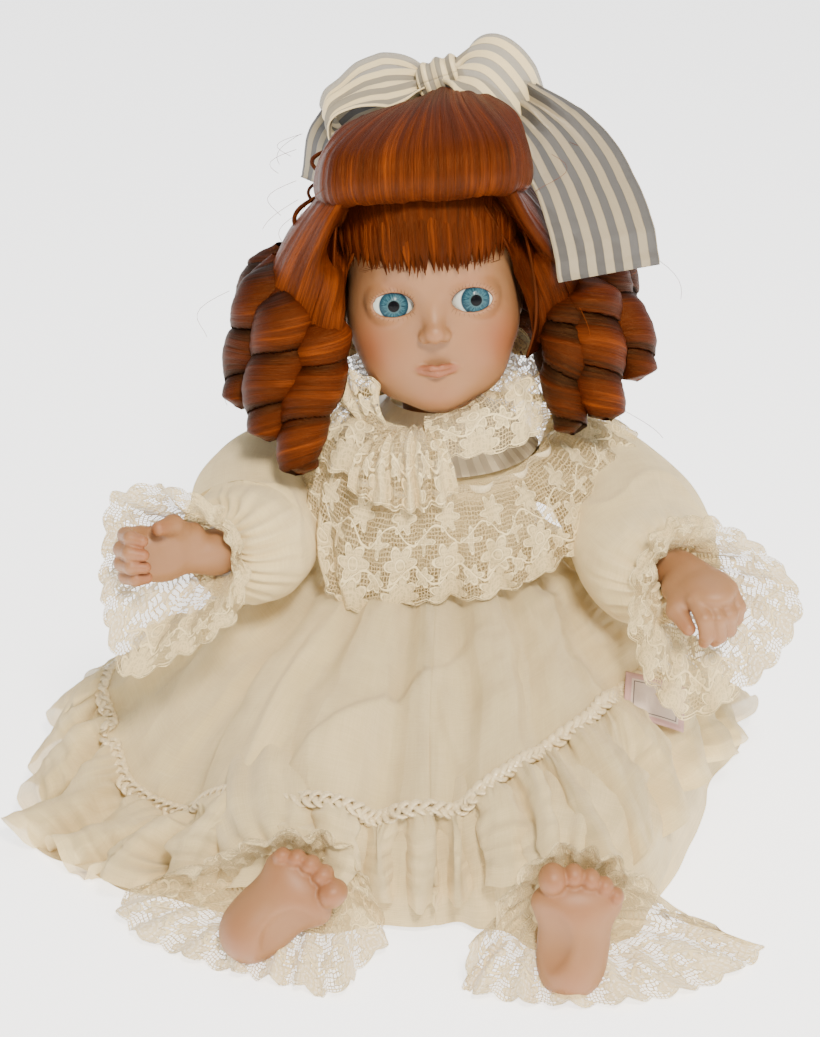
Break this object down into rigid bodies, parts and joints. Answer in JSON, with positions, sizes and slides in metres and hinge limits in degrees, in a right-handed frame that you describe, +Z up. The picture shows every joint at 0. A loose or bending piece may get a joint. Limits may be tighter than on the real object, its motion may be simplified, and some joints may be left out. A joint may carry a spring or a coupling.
{
  "type": "seated porcelain doll",
  "caption": "Seated porcelain doll with glass eyes, a ringlet wig with a ribbon bow, and a long lace-trimmed gown over pantaloons; head, arms and legs move.",
  "frame": {"origin": "middle of the flat underside of the seat", "axes": "+Z up, the doll faces -Y and its own left hand is on +X"},
  "size_m": [0.322, 0.3255, 0.3101],
  "materials": {
    "bisque": "matt painted bisque",
    "eye_glass": "polished, blue iris",
    "hair": "glossy ginger fibre",
    "wig_net": "matt net",
    "satin_ribbon": "satin with clear stripes",
    "muslin": "matt woven",
    "voile": "sheer woven",
    "lace": "openwork",
    "braid": "satin",
    "steel": "plain wire",
    "card": "printed card",
    "pate": "pressed board"
  },
  "bodies": {
    "torso": {"torso": "muslin", "shoulder_plate": "bisque", "neck_spring": "steel", "bodice": "satin_ribbon", "skirt": "voile", "petticoat": "voile", "hem_ruffle": "voile", "hem_braid": "braid", "collar_bertha": "lace", "neck_ruffle": "lace", "collar_ribbon": "satin_ribbon", "hang_tag": "card"},
    "head": {"head_shell": "bisque", "crown_pate": "pate", "eye_left": "eye_glass", "eye_right": "eye_glass", "wig_cap": "wig_net", "hair_roll": "hair", "hair_fringe": "hair", "hair_back": "hair", "hair_side_left": "hair", "hair_side_right": "hair", "ringlet_left_1": "hair", "ringlet_left_2": "hair", "ringlet_left_3": "hair", "ringlet_left_4": "hair", "ringlet_right_1": "hair", "ringlet_right_2": "hair", "ringlet_right_3": "hair", "ringlet_right_4": "hair", "bow_loop_left": "satin_ribbon", "bow_loop_right": "satin_ribbon", "bow_tail_left": "satin_ribbon", "bow_tail_right": "satin_ribbon", "bow_knot": "satin_ribbon", "bow_clip": "steel", "neck_hook": "steel"},
    "arm_left": {"upper_arm_left": "muslin", "forearm_left": "bisque", "arm_tie_left": "steel", "sleeve_left": "voile", "cuff_left": "lace"},
    "arm_right": {"upper_arm_right": "muslin", "forearm_right": "bisque", "arm_tie_right": "steel", "sleeve_right": "voile", "cuff_right": "lace"},
    "leg_left": {"upper_leg_left": "muslin", "lower_leg_left": "bisque", "leg_tie_left": "steel", "pantaloon_left": "voile", "ankle_ruffle_left": "lace"},
    "leg_right": {"upper_leg_right": "muslin", "lower_leg_right": "bisque", "leg_tie_right": "steel", "pantaloon_right": "voile", "ankle_ruffle_right": "lace"}
  },
  "joints": [
    {"name": "head_turn", "type": "hinge", "parent": "torso", "child": "head", "pos_m": [0.004, 0.004, 0.146], "axis": [0, 0, 1], "range_deg": [-25, 25]},
    {"name": "shoulder_left", "type": "hinge", "parent": "torso", "child": "arm_left", "pos_m": [0.06, 0.002, 0.13], "axis": [1, 0, 0], "range_deg": [-22, 4], "deforming": ["collar_bertha", "collar_ribbon"]},
    {"name": "shoulder_right", "type": "hinge", "parent": "torso", "child": "arm_right", "pos_m": [-0.06, 0.002, 0.13], "axis": [1, 0, 0], "range_deg": [-22, 4], "deforming": ["collar_bertha", "collar_ribbon"]},
    {"name": "hip_left", "type": "hinge", "parent": "torso", "child": "leg_left", "pos_m": [0.027, -0.033, 0.025], "axis": [1, 0, 0], "range_deg": [-22, 0], "deforming": ["skirt", "petticoat", "hem_ruffle", "hem_braid"]},
    {"name": "hip_right", "type": "hinge", "parent": "torso", "child": "leg_right", "pos_m": [-0.027, -0.033, 0.025], "axis": [1, 0, 0], "range_deg": [-22, 0], "deforming": ["skirt", "petticoat", "hem_ruffle", "hem_braid"]}
  ]
}
